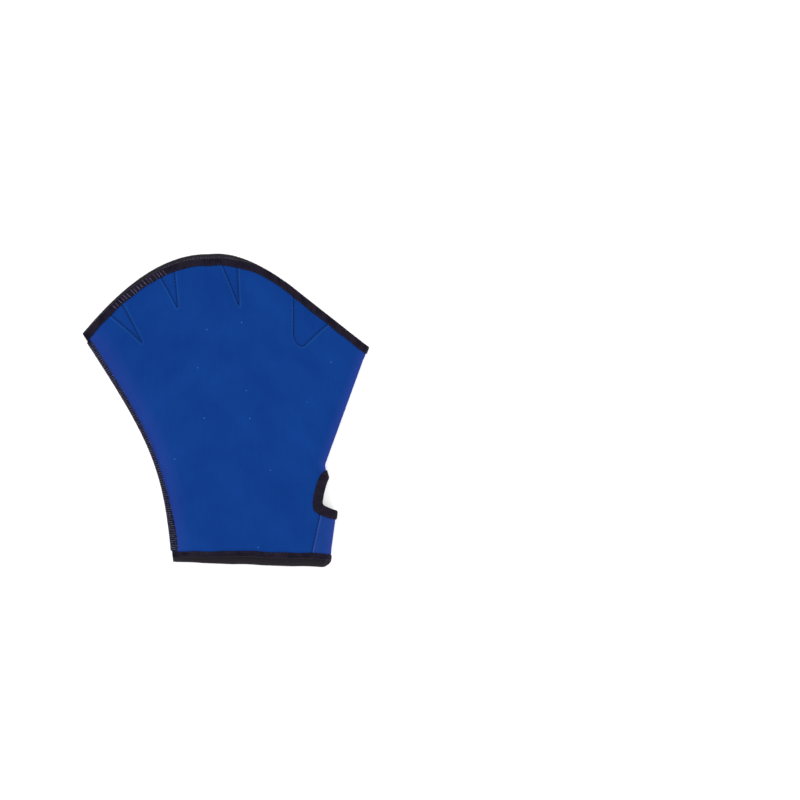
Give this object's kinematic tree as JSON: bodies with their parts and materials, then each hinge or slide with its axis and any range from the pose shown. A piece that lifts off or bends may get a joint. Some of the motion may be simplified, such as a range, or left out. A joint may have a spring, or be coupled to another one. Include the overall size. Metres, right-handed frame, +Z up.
{
  "type": "webbed swim glove",
  "caption": "Fan-shaped webbed swim glove of folded neoprene with bound edges, a thumb hole, a wrist gusset and webs between the finger openings.",
  "frame": {"origin": "middle of the glove's box, on the floor plane that the back layer lies on", "axes": "+X from the little-finger seam to the thumb fold, +Y from the cuff to the fan edge, +Z up from the floor"},
  "size_m": [0.1663, 0.1819, 0.0142],
  "materials": {
    "neoprene_body": "knit-faced neoprene, matt, fine rib",
    "neoprene_gusset": "knit-faced neoprene, matt, fine rib",
    "neoprene_web": "knit-faced neoprene, matt",
    "binding_tape": "soft woven stretch tape, matt",
    "overlock_thread": "textured polyester thread"
  },
  "bodies": {
    "root": {"glove_body": "neoprene_body", "wrist_gusset": "neoprene_gusset", "fan_binding": "binding_tape", "cuff_binding": "binding_tape", "thumb_binding": "binding_tape", "side_seam": "overlock_thread", "finger_web_1": "neoprene_web", "finger_web_2": "neoprene_web", "finger_web_3": "neoprene_web", "finger_web_4": "neoprene_web"}
  },
  "joints": []
}
